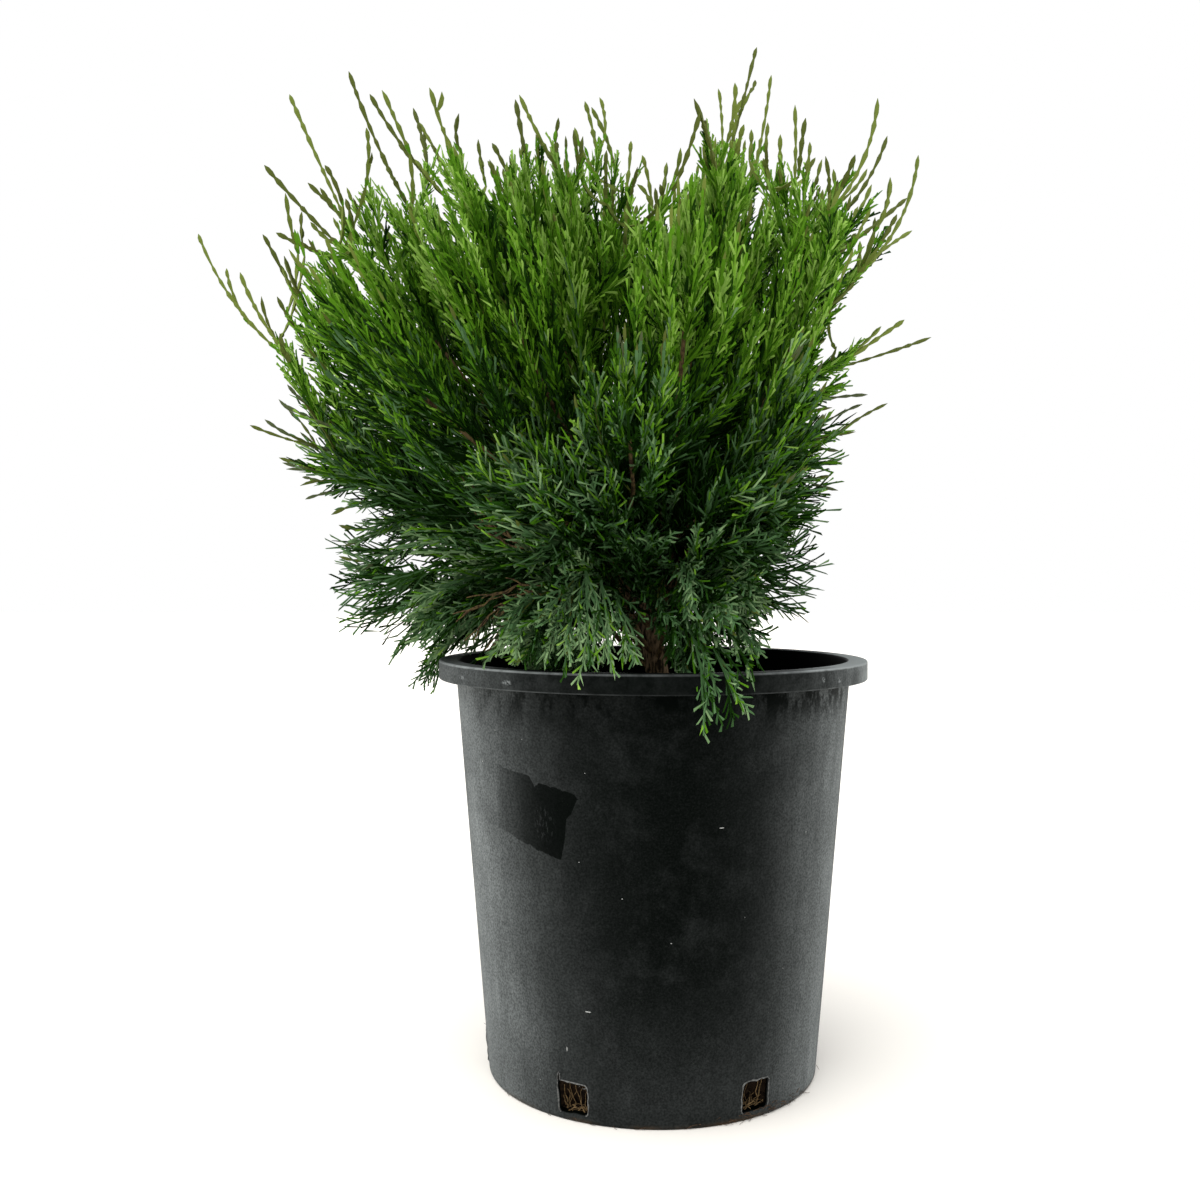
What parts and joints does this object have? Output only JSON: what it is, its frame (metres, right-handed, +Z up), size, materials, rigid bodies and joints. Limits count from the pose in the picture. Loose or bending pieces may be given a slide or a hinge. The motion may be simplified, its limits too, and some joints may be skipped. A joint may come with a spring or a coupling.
{
  "type": "potted savin juniper",
  "caption": "Potted savin juniper: a black nursery pot with drain holes, a short trunk, spreading boughs and feathery plumes of foliage",
  "frame": {"origin": "centre of the flat underside of the pot", "axes": "+Z up along the pot's axis, -Y towards the side that the picture shows, +X to its right"},
  "size_m": [0.4265, 0.3963, 0.6094],
  "materials": {
    "black_plastic": "satin",
    "potting_mix": "matte",
    "bark": "matte",
    "bright_foliage": "matte",
    "deep_foliage": "matte"
  },
  "bodies": {
    "root": {"pot": "black_plastic", "potting_mix": "potting_mix", "trunk": "bark", "upper_bough_1": "bark", "upper_bough_2": "bark", "upper_bough_3": "bark", "upper_bough_4": "bark", "upper_bough_5": "bark", "upper_bough_6": "bark", "upper_bough_7": "bark", "crown_bough_1": "bark", "crown_bough_2": "bark", "crown_bough_3": "bark", "crown_bough_4": "bark", "shoulder_bough_1": "bark", "shoulder_bough_2": "bark", "shoulder_bough_3": "bark", "shoulder_bough_4": "bark", "shoulder_bough_5": "bark", "shoulder_bough_6": "bark", "shoulder_bough_7": "bark", "upper_plume_1": "bright_foliage", "upper_plume_2": "bright_foliage", "upper_plume_3": "bright_foliage", "upper_plume_4": "bright_foliage", "upper_plume_5": "bright_foliage", "upper_plume_6": "bright_foliage", "upper_plume_7": "bright_foliage", "crown_plume_1": "bright_foliage", "crown_plume_2": "bright_foliage", "crown_plume_3": "bright_foliage", "crown_plume_4": "bright_foliage", "shoulder_plume_1": "bright_foliage", "shoulder_plume_2": "bright_foliage", "shoulder_plume_3": "bright_foliage", "shoulder_plume_4": "bright_foliage", "shoulder_plume_5": "bright_foliage", "shoulder_plume_6": "bright_foliage", "shoulder_plume_7": "bright_foliage", "middle_plume_1": "deep_foliage", "middle_plume_2": "deep_foliage", "middle_plume_3": "deep_foliage", "middle_plume_4": "deep_foliage", "middle_plume_5": "deep_foliage", "middle_plume_6": "deep_foliage", "hanging_plume_1": "deep_foliage", "hanging_plume_2": "deep_foliage", "hanging_plume_3": "deep_foliage", "hanging_plume_4": "deep_foliage", "hanging_plume_5": "deep_foliage", "hanging_plume_6": "deep_foliage", "hanging_plume_7": "deep_foliage"}
  },
  "joints": []
}
